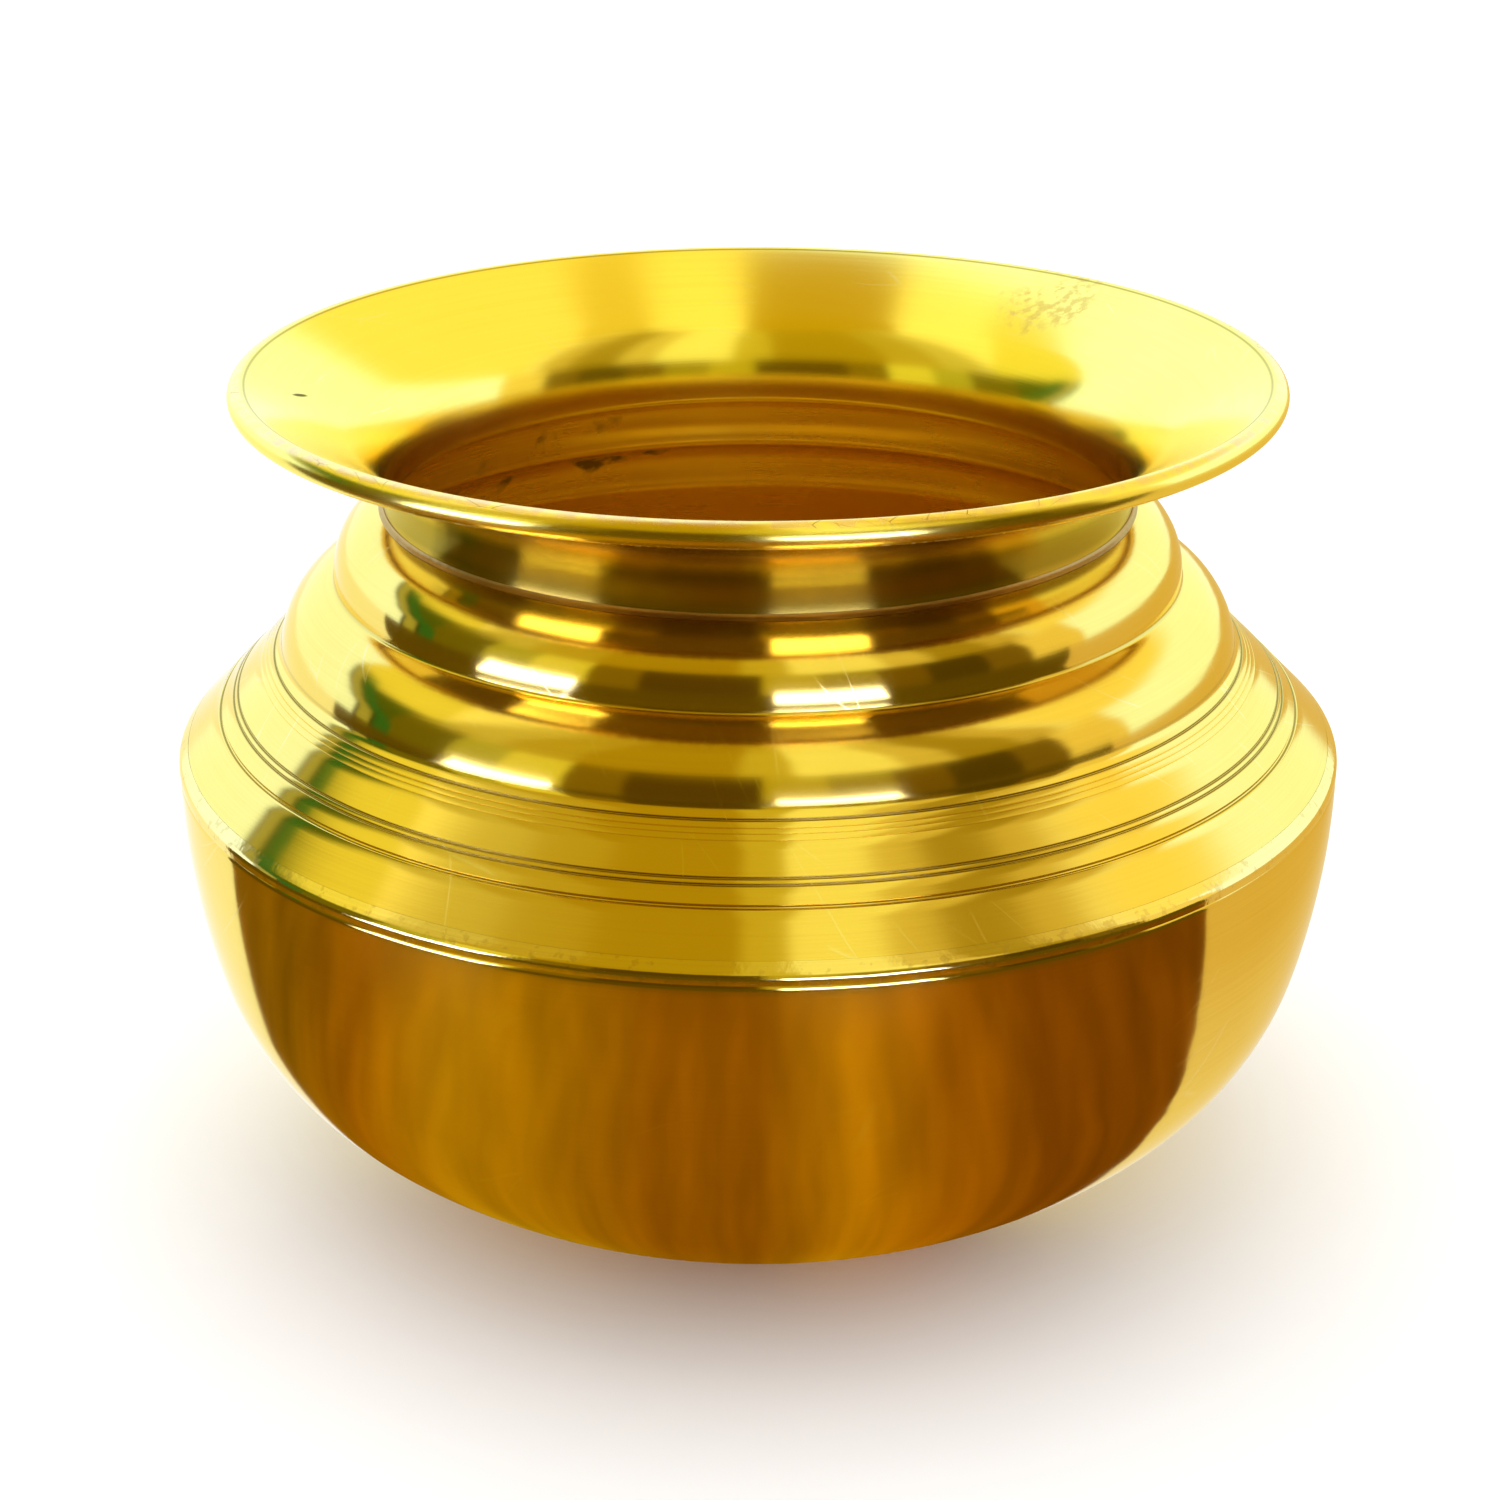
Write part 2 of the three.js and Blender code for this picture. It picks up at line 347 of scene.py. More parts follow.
def buffing_waves(depth, width, seed, rings=0.0, knocked=0.0):
    """The slight waviness left in a spun and buffed wall, always inwards of its true size.
    rings is the depth of the shallow ridges that the spinning roller leaves round the wall.
    knocked is the depth of small hammer dents on the lower right of the front."""

    def dent(angle, r, z):
        across = Vector((math.sin(angle) * r / width, math.cos(angle) * r / width, z / width + seed))
        broad = noise.noise(across)
        fine = noise.noise(across * 2.3)
        roller = noise.noise(Vector(((r - z) / ROLLER_STEP, (r + z) / ROLLER_STEP, seed)))
        wave = depth * (0.5 + 0.38 * broad + 0.12 * fine) + rings * (0.5 + 0.5 * roller)
        if knocked:
            away = ((math.degrees(angle) - DENTS_AT[0]) / DENTS_REACH[0]) ** 2
            away += ((z - DENTS_AT[1]) / DENTS_REACH[1]) ** 2
            wave += knocked * math.exp(-away) * (0.5 + 0.5 * noise.noise(across * 4.5))
        return wave

    return dent


belly_centre = (BELLY_RADIUS - BELLY_ARC, BELLY_HEIGHT)
turn_centre = shifted(belly_centre, BELLY_ARC - TURN_ARC, BELLY_ANGLE)
foot_centre = shifted(turn_centre, TURN_ARC - FOOT_ARC, TURN_ANGLE)
foot_angle = -math.degrees(math.asin(foot_centre[1] / FOOT_ARC))
flange_sum = CONE_SUM - (BODY_SHEET + LAP_GAP) * math.sqrt(2)
bend_reach = FLANGE_BEND * math.tan(math.radians(22.5))
bend_centre = (BELLY_RADIUS - FLANGE_BEND, flange_sum - BELLY_RADIUS - bend_reach)
flange_start = shifted(bend_centre, FLANGE_BEND, 45)
bowl_face = joined(
    [shifted(flange_start, FLANGE - bend_reach, 135)],
    arc(bend_centre, FLANGE_BEND, 45, 0, 6),
    arc(belly_centre, BELLY_ARC, 0, BELLY_ANGLE, 20),
    arc(turn_centre, TURN_ARC, BELLY_ANGLE, TURN_ANGLE, 22),
    arc(foot_centre, FOOT_ARC, TURN_ANGLE, foot_angle, 30),
    FLAT_FOOT,
)
bowl_waves = buffing_waves(0.09, 17, 3.1, knocked=0.16)
bowl = spun("bowl", bowl_face, far_side(bowl_face, BODY_SHEET), bowl_waves)

buffed = Brass("buffed_brass_bowl", (0.90, 0.66, 0.14), (0.82, 0.53, 0.09), 0.10, 0.85)
scratches = buffed.hairlines(-62, 0.16, 95, 0.57)
buffed.stain(sum_of(buffed.tree, scratches, 0.35, "MULTIPLY"), (0.95, 0.78, 0.42), 0.3)
# Painted shade: a dark band round the very foot, fading out a few millimetres above the floor where
# the pot stands.
buffed.stain(buffed.band(-1, 1.5, 1), (0.16, 0.09, 0.02), 0.5)
bowl.data.materials.append(buffed.finished(0.004))

# Inside, the metal is left dull and has gone orange-brown with use.
INSIDE_COLOUR = (0.98, 0.70, 0.12)
INSIDE_DEEP = (0.80, 0.44, 0.05)
used = Brass("dull_brass_bowl_inside", INSIDE_COLOUR, INSIDE_DEEP, 0.36, 0.2)
used.stain(sum_of(used.tree, used.band(-1, 5, 4), 0.5, "MULTIPLY"), (0.5, 0.24, 0.05), 0.6)
bowl.data.materials.append(used.finished(0.004))
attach(bowl, "root")
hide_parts("lower_bowl")

# ---- Shoulder --------------------------------------------------------------------------------
# The shoulder is spun from the same 1.2 mm sheet: a cone, then two rounded steps up to the hole
# for the neck. Score lines are turned into the cone with a pointed tool, for decoration.

LOWER_RIB = {"centre": (74.38, 103.08), "radius": 14}
UPPER_RIB = {"centre": (66, 117.9), "radius": 12}
NECK_HOLE = 69.15
STEP_WALL = 78  # distance from the axis to the foot of the upper step
CONE_EDGE = (106.3, 86.5)
STEP_FILLET = 0.8  # radius in the corner under the upper step
CONE_FILLET = 2.5  # radius in the corner where the lower step meets the cone
CORNER_SHADE_AND_GRIME = (116.9, 105.2)  # heights of the two corners, darkened with grime and with painted shade
SCORES = {89.6: 0.22, 96.6: 0.22, 97.4: 0.22, 100: 0.36}  # distance from the axis: depth
FINE_SCORES = {90.6: 0.08, 91.3: 0.06, 92.1: 0.05}


def score_line(radius, depth):
    """A narrow groove across the cone, with the small burr that the tool pushes up below it."""
    middle = (radius, CONE_SUM - radius)
    return [
        shifted(middle, depth * 1.1, 135),
        shifted(shifted(middle, depth * 0.3, 135), depth, -135),
        shifted(shifted(middle, depth * 0.3, -45), depth, -135),
        shifted(middle, depth * 1.1, -45),
        shifted(shifted(middle, depth * 1.5, -45), depth * 0.16, 45),
        shifted(middle, depth * 2.0, -45),
    ]


hole_angle = math.degrees(math.acos((NECK_HOLE - UPPER_RIB["centre"][0]) / UPPER_RIB["radius"]))
rib_out, rib_up = LOWER_RIB["centre"]
step_out = STEP_WALL + STEP_FILLET - rib_out
step_up = math.sqrt((LOWER_RIB["radius"] + STEP_FILLET) ** 2 - step_out**2)
step_angle = math.degrees(math.atan2(step_up, step_out))
cone_sum = CONE_SUM + CONE_FILLET * math.sqrt(2) - rib_up
cone_reach = 2 * (LOWER_RIB["radius"] + CONE_FILLET) ** 2 - (rib_out - cone_sum) ** 2
corner_out = (rib_out + cone_sum + math.sqrt(cone_reach)) / 2
corner_centre = (corner_out, cone_sum - corner_out + rib_up)
corner_angle = math.degrees(math.atan2(corner_centre[1] - rib_up, corner_out - rib_out))
upper_steps = joined(
    arc(UPPER_RIB["centre"], UPPER_RIB["radius"], hole_angle, 0, 26),
    arc((rib_out + step_out, rib_up + step_up), STEP_FILLET, 180, 180 + step_angle, 6),
    arc(LOWER_RIB["centre"], LOWER_RIB["radius"], step_angle, corner_angle, 26),
)
corner = arc(corner_centre, CONE_FILLET, 180 + corner_angle, 225, 6)
cone = [corner[-1]]
for radius, depth in sorted({**SCORES, **FINE_SCORES}.items()):
    groove = score_line(radius, depth)
    cone += line(cone[-1], groove[0], max(1, round(math.dist(cone[-1], groove[0]) / 1.5)))[1:]
    cone += groove[1:]
cone += line(cone[-1], CONE_EDGE, 5)[1:]
plain_face = joined(upper_steps, corner, line(corner[-1], CONE_EDGE, 10))
shoulder_face = joined(upper_steps, corner, cone)
shoulder_waves = buffing_waves(0.04, 21, 8.4, rings=0.055)
shoulder = spun("shoulder", shoulder_face, far_side(plain_face, BODY_SHEET), shoulder_waves)

stepped = Brass("buffed_brass_shoulder", (0.90, 0.66, 0.14), (0.82, 0.54, 0.09), 0.12, 0.92)
scratches = stepped.hairlines(38, 0.22, 120, 0.56)
stepped.stain(sum_of(stepped.tree, scratches, 0.35, "MULTIPLY"), (0.95, 0.8, 0.45), 0.3)
# The two corners under the steps are darkened with grime and painted shade; the score lines below are
# darkened too.
for height in CORNER_SHADE_AND_GRIME:
    grime_and_shade = stepped.band(height - 0.1, height + 0.1, 0.35)
    stepped.stain(sum_of(stepped.tree, grime_and_shade, 0.6, "MULTIPLY"), (0.2, 0.13, 0.03), 0.4)
for radius in SCORES:
    grime_and_shade = stepped.band(radius - 0.22, radius + 0.16, 0.1, upright=False)
    stepped.stain(sum_of(stepped.tree, grime_and_shade, 0.75, "MULTIPLY"), (0.16, 0.1, 0.02), 0.5)
shoulder.data.materials.append(stepped.finished(0.004))

lining = Brass("dull_brass_shoulder_inside", INSIDE_COLOUR, INSIDE_DEEP, 0.26, 0.5)
blotches = ramp(lining.tree, lining.mottle(95, 4, (2, 5, 1)), [(0.56, 0.0), (0.64, 1.0)])
damp = sum_of(lining.tree, blotches, lining.patch((-42, 70, 114), (26, 22, 9), 0.6), "MULTIPLY")
lining.stain(sum_of(lining.tree, damp, 0.8, "MULTIPLY"), (0.16, 0.12, 0.04), 0.6)
shoulder.data.materials.append(lining.finished(0.004))
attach(shoulder, "root")
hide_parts("shoulder_shell")

# ---- Ridge braze -----------------------------------------------------------------------------
# Spelter run into the joint between bowl and shoulder, then filed to a narrow rounded ridge.
# The file has left it finely pitted, so it sparkles.

RIDGE_ROUND = 2
RIDGE_GAP = 0.01
RIDGE_EDGE = [(0, 0.06), (0.17, 0.1), (0.55, 0.56)]  # lower edge: depth from its face, and height
RIDGE_TONGUE = 0.85  # how far it runs in under the shoulder's edge

ridge_top = CONE_EDGE[0] + RIDGE_GAP
ridge_reach = RIDGE_ROUND * math.tan(math.radians(22.5))
ridge_centre = (BELLY_RADIUS - RIDGE_ROUND, CONE_SUM - BELLY_RADIUS - ridge_reach)
seat_sum = CONE_SUM - BODY_SHEET * math.sqrt(2)
ridge_section = joined(
    line((ridge_top, CONE_SUM - ridge_top), shifted(ridge_centre, RIDGE_ROUND, 45), 2),
    arc(ridge_centre, RIDGE_ROUND, 45, 0, 8),
    [(BELLY_RADIUS - depth, seat_sum - BELLY_RADIUS + rise) for depth, rise in RIDGE_EDGE],
    [(ridge_top - RIDGE_TONGUE, seat_sum - ridge_top + RIDGE_TONGUE)],
)
ridge = spun("ridge_bead", ridge_section, (), buffing_waves(0.05, 6, 1.7), sides=720)

filed = Brass("filed_spelter_ridge", (0.95, 0.74, 0.24), (0.80, 0.52, 0.10), 0.10, 0.5)
sparkle = filed.mottle(520, 3, (4, 1, 2))
worn = ramp(filed.tree, sparkle, [(0.58, 0.0), (0.66, 1.0)])
filed.stain(sum_of(filed.tree, worn, 0.3, "MULTIPLY"), (0.52, 0.32, 0.08), 0.35)
filed.height = sparkle
ridge.data.materials.append(filed.finished(0.02))
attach(ridge, "root")
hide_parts("ridge_braze")

# ---- Mouth -----------------------------------------------------------------------------------
# Neck, flare and lip are one shell spun from 1 mm sheet. Its lower edge is peened out under the
# shoulder, and its upper edge is rolled over a wire. The flare is left with a satin finish.

MOUTH_SHEET = 1.0
NECK_BORE = 67.5
NECK_FOOT = 130
NECK_CURVE = 17.1
FLARE_CURVE = 113
NECK_SWEEP = 55
FLARE_SWEEP = 10
LIP_RADIUS = 2.2
LIP_WRAP = 240
COLLAR_TIP = 50
COLLAR_BEND = 1.6
LIP_EDGE = (91.6, 92.0)  # distances from the axis of the lip's dirty inner edge
LIP_TOP = (92.5, 94.3)  # of its scuffed top
LIP_ROLL = (94.4, 96)  # and of its smoother outer roll
NECK_EDGE = (129, 133)  # heights where the metal inside the neck has gone orange
UNBUFFED_AND_SHADED = (130, 139)  # heights outside the neck, under the flare, that a buff does not reach, darkened with painted shade
TARNISH = {"centre": (60, 60, 150.5), "size": (17, 9, 7)}
TICK = {"centre": (-82.5, -3.9, 149), "size": (0.6, 3.0, 3.0), "turn": 25}

collar_radius = UPPER_RIB["radius"] - BODY_SHEET - LAP_GAP - MOUTH_SHEET
collar_turn = math.acos(
    (NECK_BORE + COLLAR_BEND - UPPER_RIB["centre"][0]) / (collar_radius + COLLAR_BEND)
)
collar_angle = math.degrees(collar_turn)
collar_centre = shifted(UPPER_RIB["centre"], collar_radius + COLLAR_BEND, collar_angle)
neck_centre = (NECK_BORE + NECK_CURVE, NECK_FOOT)
flare_angle = 180 - NECK_SWEEP
flare_centre = shifted(neck_centre, NECK_CURVE - FLARE_CURVE, flare_angle)
lip_angle = flare_angle - FLARE_SWEEP
lip_centre = shifted(flare_centre, FLARE_CURVE - LIP_RADIUS, lip_angle)
mouth_face = joined(
    arc(UPPER_RIB["centre"], collar_radius, COLLAR_TIP, collar_angle, 8),
    arc(collar_centre, COLLAR_BEND, collar_angle - 180, -180, 8),
    [(NECK_BORE, NECK_FOOT)],
    arc(neck_centre, NECK_CURVE, 180, flare_angle, 22),
    arc(flare_centre, FLARE_CURVE, flare_angle, lip_angle, 12),
    arc(lip_centre, LIP_RADIUS, lip_angle, 90 - LIP_WRAP, 34),
)
mouth_back = far_side(mouth_face, MOUTH_SHEET)
mouth = spun("mouth", mouth_face, mouth_back, buffing_waves(0.05, 24, 5.5))

satin = Brass("satin_brass_mouth", (1.0, 0.80, 0.16), (0.96, 0.70, 0.09), 0.17, 0.8)
scratches = satin.hairlines(72, 0.2, 130, 0.58)
satin.stain(sum_of(satin.tree, scratches, 0.35, "MULTIPLY"), (0.95, 0.8, 0.5), 0.35)
specks = ramp(satin.tree, satin.mottle(480, 3, (6, 2, 4)), [(0.46, 0.0), (0.6, 1.0)])
spot = satin.patch(TARNISH["centre"], TARNISH["size"], 0.8)
tarnish = sum_of(satin.tree, spot, specks, "MULTIPLY")
satin.stain(sum_of(satin.tree, tarnish, 0.5, "MULTIPLY"), (0.62, 0.36, 0.08), 0.3)
tick = satin.patch(TICK["centre"], TICK["size"], 0.1, TICK["turn"])
satin.stain(tick, (0.12, 0.07, 0.01), 0.5)
neck_edge = satin.band(*NECK_EDGE, 1)
satin.stain(sum_of(satin.tree, neck_edge, 0.6, "MULTIPLY"), (0.75, 0.42, 0.03), 0.2)
scuffed = ramp(satin.tree, satin.mottle(260, 3, (1, 2, 3)), [(0.4, 0.35), (0.6, 1.0)])
lip_top = satin.band(*LIP_TOP, 0.25, upright=False)
lip_scuffs = sum_of(satin.tree, sum_of(satin.tree, lip_top, scuffed, "MULTIPLY"), 0.8, "MULTIPLY")
satin.stain(lip_scuffs, (0.90, 0.60, 0.30), 0.34)
nicks = satin.hairlines(80, 0.3, 420, 0.5)
satin.stain(sum_of(satin.tree, nicks, lip_top, "MULTIPLY"), (0.35, 0.18, 0.05), 0.4)
lip_edge = satin.band(*LIP_EDGE, 0.2, upright=False)
satin.stain(sum_of(satin.tree, lip_edge, 0.8, "MULTIPLY"), (0.30, 0.19, 0.03), 0.3)
lip_roll = satin.band(*LIP_ROLL, 0.2, upright=False)
satin.roughness = mixed(satin.tree, lip_roll, satin.roughness, (0.22, 0.22, 0.22))
mouth.data.materials.append(satin.finished(0.006))

# The outside of the neck is hard to reach with a buff, so it stays darker than the rest; under the
# flare it is darkened further with painted shade.
neck_side = Brass("dark_brass_neck_outside", (0.88, 0.64, 0.13), (0.70, 0.46, 0.08), 0.16, 0.9)
shaded_and_unbuffed = neck_side.band(*UNBUFFED_AND_SHADED, 2)
neck_side.stain(sum_of(neck_side.tree, shaded_and_unbuffed, 0.85, "MULTIPLY"), (0.30, 0.24, 0.03), 0.2)
mouth.data.materials.append(neck_side.finished(0.005))
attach(mouth, "root")
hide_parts("mouth_flare")

# ---- Rim wire --------------------------------------------------------------------------------
# A round drawn brass wire that the lip is rolled over. Only a sliver of it shows from below.

WIRE_RADIUS = 1.15

wire = spun("lip_wire", arc(lip_centre, WIRE_RADIUS, 0, 360, 20)[:-1])
drawn = Brass("drawn_brass_wire", (0.80, 0.58, 0.22), (0.55, 0.36, 0.10), 0.4, 0.3)
wire.data.materials.append(drawn.finished(0.004))
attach(wire, "root")
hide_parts("rim_wire")

# ---- Neck braze ------------------------------------------------------------------------------
# The small fillet of spelter where the neck comes out of the shoulder. It is redder than the
# sheet, a little lumpy, and only wiped clean, not buffed.

FILLET_LEG = 0.8
FILLET_GAP = 0.03  # between the fillet and the neck's wall
FILLET_SUNK = 0.38  # how far its corner lies below the neck's foot
# Its outline from the corner: out and up, as shares of a leg, with a hollow face
FILLET_OUTLINE = [(0, 0), (1, -0.15), (0.62, 0.2), (0.36, 0.36), (0.14, 0.66), (0, 1)]

fillet_out = NECK_BORE + MOUTH_SHEET + FILLET_GAP
fillet_up = NECK_FOOT - FILLET_SUNK
fillet_section = [
    (fillet_out + out * FILLET_LEG, fillet_up + up * FILLET_LEG) for out, up in FILLET_OUTLINE
]
fillet = spun("neck_fillet", fillet_section)

red_spelter = Brass("red_spelter_fillet", (0.52, 0.30, 0.09), (0.32, 0.16, 0.04), 0.34, 0.0)
lumps = red_spelter.mottle(420, 3, (3, 3, 3))
red_spelter.height = lumps
fillet.data.materials.append(red_spelter.finished(0.15))
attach(fillet, "root")
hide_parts("neck_braze")

# ---- Floor -----------------------------------------------------------------------------------
# A plain pale sheet under the pot. It is wide enough to fill the view from any side.

FLOOR_WIDTH = 12


def flat_sheet(name, corners, height):
    """A flat sheet through its corners, in metres."""
    mesh = bpy.data.meshes.new(name)
    mesh.from_pydata([(x, y, height) for x, y in corners], [], [list(range(len(corners)))])
    made = bpy.data.objects.new(name, mesh)
    bpy.context.scene.collection.objects.link(made)
    return made


half = FLOOR_WIDTH / 2
floor = flat_sheet("floor", [(-half, -half), (half, -half), (half, half), (-half, half)], 0)
floor.visible_glossy = False
paper = bpy.data.materials.new("pale_paper")
paper.use_nodes = True
paper_shader = paper.node_tree.nodes["Principled BSDF"]
paper_place = node(paper.node_tree, "TexCoord").outputs["Object"]
paper_cloud = node(paper.node_tree, "TexNoise", {"Vector": paper_place, "Scale": 9, "Detail": 6})
paper_tone = ramp(
    paper.node_tree, paper_cloud.outputs["Fac"], [(0.3, (0.90, 0.90, 0.90)), (0.7, (0.93, 0.93, 0.93))]
)
paper.node_tree.links.new(paper_tone, paper_shader.inputs["Base Color"])
paper_shader.inputs["Roughness"].default_value = 0.9
paper_shader.inputs["Specular IOR Level"].default_value = 0
floor.data.materials.append(paper)

# ---- Studio ----------------------------------------------------------------------------------
# Polished brass shows the room more than itself, so the room round the pot is painted: pale
# screens, a golden wall, darker gaps, and a brown board in front. Only the metal sees these.


def only_in_reflections(thing):
    """Leaves a thing for the metal to reflect, and for nothing else to see."""
    thing.visible_camera = False
    thing.visible_diffuse = False
    thing.visible_shadow = False
    thing.visible_transmission = False
    thing.visible_volume_scatter = False


def glowing(name):
    """A plain glowing paint whose colour is still to be linked."""
    paint = bpy.data.materials.new(name)
    paint.use_nodes = True
    paint.node_tree.nodes.clear()
    glow = node(paint.node_tree, "Emission")
    node(paint.node_tree, "OutputMaterial", {"Surface": glow.outputs[0]})
    paint.cycles.emission_sampling = "NONE"
    return paint, glow


# The walls, as a run of paints with the azimuth where each begins, in degrees from the front
# towards the right. Colours are brightness in red, green and blue.
ROOM_RADIUS = 4
SCREEN_EDGE = -105  # where the white screen on the left ends
SCREEN_LEAN = 1.05  # degrees that this edge leans back for each degree of height
LEAN_START = 10  # elevation where it begins to lean
SCREEN_TOP = (56, 64)  # elevations between which the screen fades out at its top
WHITE_SCREEN = (1.15, 1.5, 2.5)
WALLS = [
    ("green shade", -182, (0.085, 0.13, 0.006)),
    ("dark gold wall", -93, (0.17, 0.15, 0.006)),
    ("gold wall", -74, (0.5, 0.5, 0.06)),
    ("bright gold wall", -60, (0.85, 0.82, 0.14)),
    ("brown wall", -44, (0.24, 0.16, 0.005)),
    ("dark doorway", -30, (0.10, 0.06, 0.003)),
    ("lit olive wall", 1, (0.56, 0.48, 0.03)),
    ("olive wall", 16, (0.36, 0.30, 0.012)),
    ("brown corner", 31, (0.18, 0.11, 0.003)),
    ("dark corner", 44, (0.085, 0.055, 0.002)),
    ("brown edge", 61, (0.2, 0.13, 0.01)),
    ("cream edge", 74, (1.0, 0.85, 0.32)),
    ("white screen", 92, (1.15, 1.5, 2.2)),
]
# The ceiling's panels spread like a fan from a point behind the pot. Each begins at an angle
# in that fan, in degrees, growing towards the right.
CEILING = [
    ("warm panel", -182, (1.0, 0.95, 0.2)),
    ("bright panel", -47, (1.25, 1.2, 0.55)),
    ("dark gold panel", -26, (0.62, 0.42, 0.008)),
    ("bright panel", 2, (1.2, 1.12, 0.42)),
    ("gold panel", 20, (0.9, 0.72, 0.12)),
    ("yellow panel", 34, (1.15, 1.05, 0.4)),
]
# The part of the ceiling over the front, by azimuth. The cone and the steps show this part.
CEILING_FRONT = [
    ("olive part", -182, (0.45, 0.45, 0.08)),
    ("gold part", -84, (0.70, 0.63, 0.17)),
    ("dull part", -66, (0.58, 0.46, 0.05)),
    ("dim part", -46, (0.49, 0.35, 0.01)),
    ("lit part", -5, (0.68, 0.58, 0.07)),
    ("bright part", 9, (1.1, 1.1, 0.5)),
    ("gold part", 36, (0.8, 0.68, 0.2)),
    ("dim part", 50, (0.44, 0.33, 0.03)),
    ("warm part", 68, (0.72, 0.58, 0.15)),
    ("pale part", 80, (1.05, 1.05, 0.7)),
]
FAN_POINT = 0.71  # how far behind the pot the fan starts, as a share of the room's radius
CEILING_EDGE = 30  # elevation where the walls give way to the ceiling
EDGE_BLEND = 4
FRONT_TOP = (68, 74)  # elevations between which the front part gives way to the panels
WALL_BLEND = 1.4  # degrees over which neighbouring paints blend
PANEL_BLEND = 1.2
FRONT_BLEND = 2.5
STRIP_BLEND = 0.4
SCREEN_BLEND = 0.7
# The white screen's frame, each strip with where it begins, in degrees from the screen's edge.
FRAME = [
    ("dark line", -1, (0.05, 0.05, 0.01)),
    ("pale strip", 1.5, (0.45, 0.46, 0.15)),
    ("dark line", 6.5, (0.03, 0.05, 0.01)),
    ("green strip", 8, (0.035, 0.17, 0.035)),
]
FRAME_WIDTH = 14
FRAME_TOP = (28, 34)  # elevations between which the frame fades out at its top
# Daylight in two gaps: its azimuths, and its near and far ends on the board in metres
DAYLIGHT = [("left_daylight", -72, -46, 0.5, 4), ("right_daylight", 4, 31, 0.52, 4)]
DAYLIGHT_COLOUR = (6.0, 6.6, 12.0)
DAYLIGHT_TOP = 2  # elevation


def soft_step(value, start, end):
    """0 before start, 1 after end, and smooth between."""
    share = min(1, max(0, (value - start) / (end - start)))
    return share * share * (3 - 2 * share)


def fading_out(elevation, heights):
    """1 below a pair of elevations, 0 above them, and smooth between."""
    return soft_step(-elevation, -heights[1], -heights[0])


def paint_along(run, angle, softness):
    """The colour at an angle, with each paint blending into the next over the softness."""
    colour = Vector(run[0][2])
    for name, start, paint in run[1:]:
        colour = colour.lerp(Vector(paint), soft_step(angle, start - softness, start + softness))
    return colour


def room_colour(azimuth, elevation):
    """The painted colour of the room in one direction."""
    wall = paint_along(WALLS, azimuth, WALL_BLEND)
    level = math.cos(math.radians(elevation))
    back = -level * math.cos(math.radians(azimuth))
    fan = math.degrees(math.atan2(level * math.sin(math.radians(azimuth)), FAN_POINT - back))
    top = paint_along(CEILING, fan, PANEL_BLEND)
    over_front = soft_step(-back, 0.0, 0.15) * fading_out(elevation, FRONT_TOP)
    top = top.lerp(paint_along(CEILING_FRONT, azimuth, FRONT_BLEND), over_front)
    high = soft_step(elevation, CEILING_EDGE - EDGE_BLEND, CEILING_EDGE + EDGE_BLEND)
    colour = wall.lerp(top, high)
    for name, left, right, near, far in DAYLIGHT:
        if left < azimuth < right and elevation < DAYLIGHT_TOP:
            colour = Vector(DAYLIGHT_COLOUR)
    edge = SCREEN_EDGE - SCREEN_LEAN * max(0, elevation - LEAN_START)
    beside = azimuth - edge
    if 0 < beside < FRAME_WIDTH:
        strip = paint_along(FRAME, beside, STRIP_BLEND)
        colour = colour.lerp(strip, fading_out(elevation, FRAME_TOP))
    screened = soft_step(-azimuth, -edge - SCREEN_BLEND, -edge + SCREEN_BLEND)
    return colour.lerp(Vector(WHITE_SCREEN), screened * fading_out(elevation, SCREEN_TOP))


room_mesh = bpy.data.meshes.new("painted_room")
room_build = bmesh.new()
room_paint = room_build.verts.layers.float_color.new("paint")
rows = []
# Painted at every half degree round, and every degree and a half up from just below the horizon
for elevation in (step * 1.5 for step in range(-2, 61)):
    row = []
    for azimuth in (step / 2 for step in range(-360, 360)):
        flat = ROOM_RADIUS * math.cos(math.radians(elevation))
        turn = math.radians(azimuth)
        up = ROOM_RADIUS * math.sin(math.radians(elevation))
        corner = room_build.verts.new((flat * math.sin(turn), -flat * math.cos(turn), up))
        corner[room_paint] = (*room_colour(azimuth, elevation), 1)
        row.append(corner)
    rows.append(row)
for low_row, high_row in zip(rows, rows[1:]):
    for i in range(len(low_row)):
        k = (i + 1) % len(low_row)
        room_build.faces.new([low_row[i], low_row[k], high_row[k], high_row[i]])
room_build.to_mesh(room_mesh)
room_build.free()
room = bpy.data.objects.new("painted_room", room_mesh)
bpy.context.scene.collection.objects.link(room)
only_in_reflections(room)
room_glow, glow = glowing("room_paint")
painted = node(room_glow.node_tree, "Attribute", attribute_name="paint", attribute_type="GEOMETRY")
room_glow.node_tree.links.new(painted.outputs["Color"], glow.inputs["Color"])
room_mesh.materials.append(room_glow)

# The table: white paper behind a slanting edge, and a brown board in front of it.
BENCH_HEIGHT = -0.0006
BENCH_REACH = 4
BOARD_GLOW = 1.08
PAPER_EDGE = [(-4, 1.6), (-0.24, 0.04), (-0.10, -0.02), (0.10, -0.05), (0.25, -0.06), (4, -0.3)]

behind = [(BENCH_REACH, BENCH_REACH), (-BENCH_REACH, BENCH_REACH)]
ahead = [(-BENCH_REACH, -BENCH_REACH), (BENCH_REACH, -BENCH_REACH)]
paper_part = flat_sheet("paper_in_reflections", PAPER_EDGE + behind, BENCH_HEIGHT)
board_part = flat_sheet("board_in_reflections", ahead + PAPER_EDGE[::-1], BENCH_HEIGHT)
only_in_reflections(paper_part)
only_in_reflections(board_part)

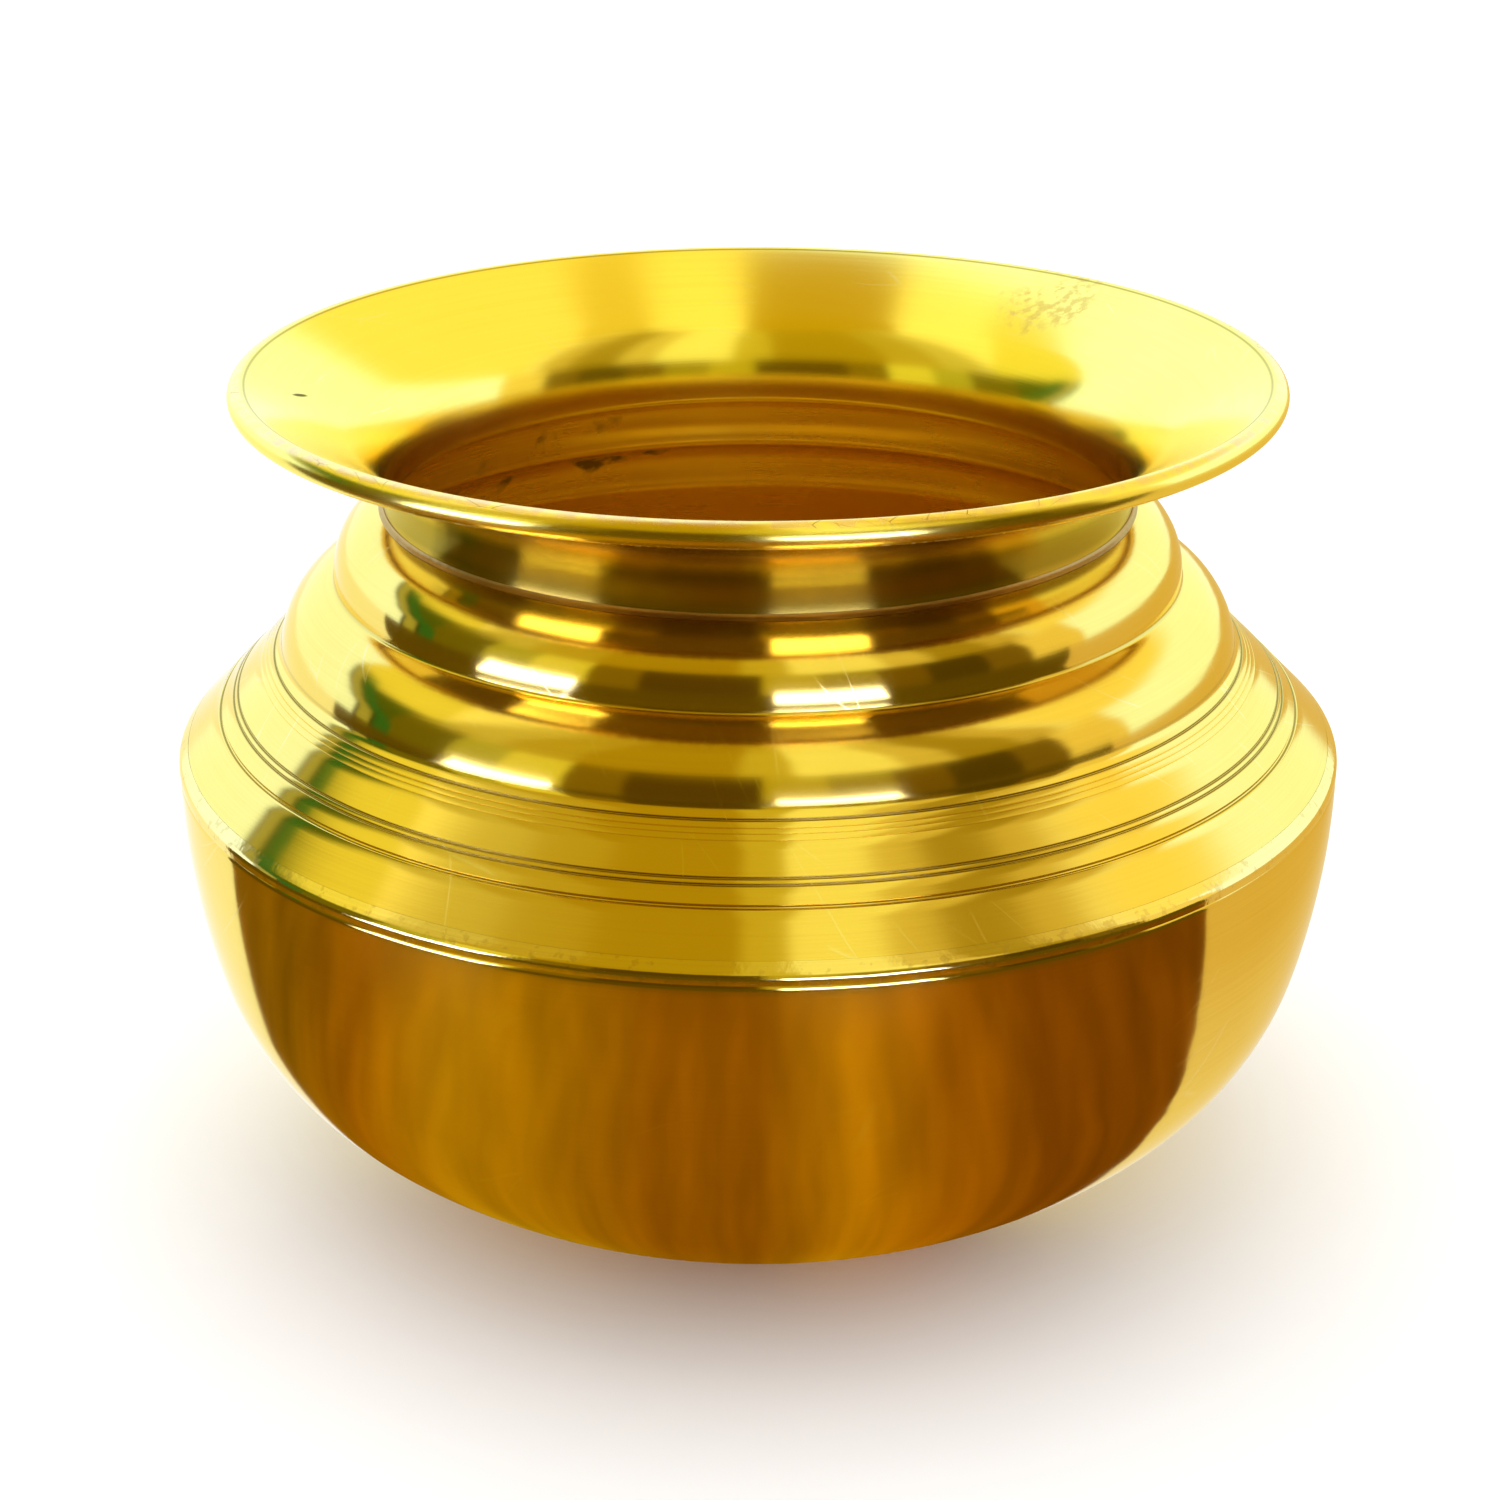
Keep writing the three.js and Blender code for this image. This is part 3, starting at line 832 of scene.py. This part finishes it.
paper_glow, glow = glowing("paper_in_reflections")
tree = paper_glow.node_tree
place = node(tree, "TexCoord").outputs["Object"]
across = node(tree, "SeparateXYZ", {"Vector": place}).outputs["X"]
share = node(tree, "MapRange", {"Value": across, "From Min": -0.4, "From Max": 0.4}).outputs[0]
paper_colours = ramp(
    tree, share, [(0.3, (1.1, 1.2, 1.5)), (0.5, (1.05, 1.1, 1.2)), (0.75, (0.8, 0.62, 0.28))]
)
tree.links.new(paper_colours, glow.inputs["Color"])
paper_part.data.materials.append(paper_glow)

board_glow, glow = glowing("board_in_reflections")
tree = board_glow.node_tree
place = node(tree, "TexCoord").outputs["Object"]
axes = node(tree, "SeparateXYZ", {"Vector": place})
forwards = sum_of(tree, axes.outputs["Y"], -1, "MULTIPLY")
turn = sum_of(tree, axes.outputs["X"], forwards, "ARCTAN2")
around = node(
    tree, "MapRange", {"Value": turn, "From Min": -math.pi / 2, "From Max": math.pi / 2}
).outputs[0]
board_colours = ramp(
    tree,
    around,
    [
        (0.06, (0.24, 0.13, 0.002)),
        (0.15, (0.35, 0.15, 0.001)),
        (0.25, (0.48, 0.28, 0.004)),
        (0.33, (0.41, 0.22, 0.002)),
        (0.42, (0.29, 0.12, 0.001)),
        (0.50, (0.27, 0.11, 0.001)),
        (0.57, (0.50, 0.25, 0.002)),
        (0.645, (0.38, 0.15, 0.001)),
        (0.73, (0.21, 0.073, 0.001)),
        (0.85, (0.21, 0.075, 0.001)),
    ],
)
outwards = node(tree, "VectorMath", {0: place}, operation="NORMALIZE").outputs[0]
streaks = node(tree, "VectorMath", {0: outwards, "Scale": 9}, operation="SCALE").outputs[0]
slow = node(tree, "VectorMath", {0: place, "Scale": 9}, operation="SCALE").outputs[0]
streaky = node(tree, "VectorMath", {0: streaks, 1: slow}, operation="ADD").outputs[0]
grain = node(tree, "TexNoise", {"Vector": streaky, "Scale": 1, "Detail": 3}).outputs["Fac"]
grained = mixed(tree, 0.5, board_colours, ramp(tree, grain, [(0.3, 0.45), (0.7, 1.3)]), "MULTIPLY")
reach = node(tree, "VectorMath", {0: place}, operation="LENGTH").outputs["Value"]
far = ramp(tree, reach, [(0.27, 0.0), (0.31, 1.0)])
board_seen = mixed(tree, far, grained, (0.11, 0.075, 0.003))
tree.links.new(board_seen, glow.inputs["Color"])
glow.inputs["Strength"].default_value = BOARD_GLOW
board_part.data.materials.append(board_glow)

# Daylight falls on the board in two bright patches, seen in the feet of the rounded steps.
for name, left, right, near, far in DAYLIGHT:
    corners = [
        (distance * math.sin(math.radians(turn)), -distance * math.cos(math.radians(turn)))
        for turn, distance in ((left, near), (left, far), (right, far), (right, near))
    ]
    patch_of_light = flat_sheet(name, corners, BENCH_HEIGHT / 2)
    only_in_reflections(patch_of_light)
    light_paint, glow = glowing(name)
    tree = light_paint.node_tree
    place = node(tree, "TexCoord").outputs["Object"]
    cloudy = node(tree, "TexNoise", {"Vector": place, "Scale": 5}).outputs["Fac"]
    shades = ramp(tree, cloudy, [(0.3, (5.5, 6.0, 11.0)), (0.7, (6.5, 7.2, 13.0))])
    tree.links.new(shades, glow.inputs["Color"])
    patch_of_light.data.materials.append(light_paint)

# Soft light for the floor: one wide box overhead, a little behind the pot, and an even sky.
softbox_light = bpy.data.lights.new("softbox", "AREA")
softbox_light.shape = "DISK"
softbox_light.size = 2.6
softbox_light.energy = 10
softbox = bpy.data.objects.new("softbox", softbox_light)
softbox.location = (-0.4, 0.3, 2.4)
softbox.rotation_euler = (Vector(softbox.location)).to_track_quat("Z", "Y").to_euler()
softbox.visible_glossy = False
bpy.context.scene.collection.objects.link(softbox)

sky = bpy.data.worlds.new("even_sky")
sky.use_nodes = True
sky.node_tree.nodes["Background"].inputs["Color"].default_value = (1, 1, 1, 1)
sky.node_tree.nodes["Background"].inputs["Strength"].default_value = 1.3
bpy.context.scene.world = sky
bpy.context.scene.view_settings.view_transform = "Standard"

# ---- Camera ----------------------------------------------------------------------------------
# Above the lip and looking down into the mouth, from a little over half a metre away.

CAMERA_PLACE = (0, -0.5185, 0.2927)
CAMERA_TILT = 22.47  # degrees below the horizon
SENSOR_WIDTH = 36
LENS = 70.68

camera_data = bpy.data.cameras.new("camera")
camera_data.sensor_width = SENSOR_WIDTH
camera_data.lens = LENS
camera_data.shift_x = -0.0053
camera = bpy.data.objects.new("camera", camera_data)
camera.location = CAMERA_PLACE
camera.rotation_euler = Euler((math.radians(90 - CAMERA_TILT), 0, 0))
bpy.context.scene.collection.objects.link(camera)
bpy.context.scene.camera = camera
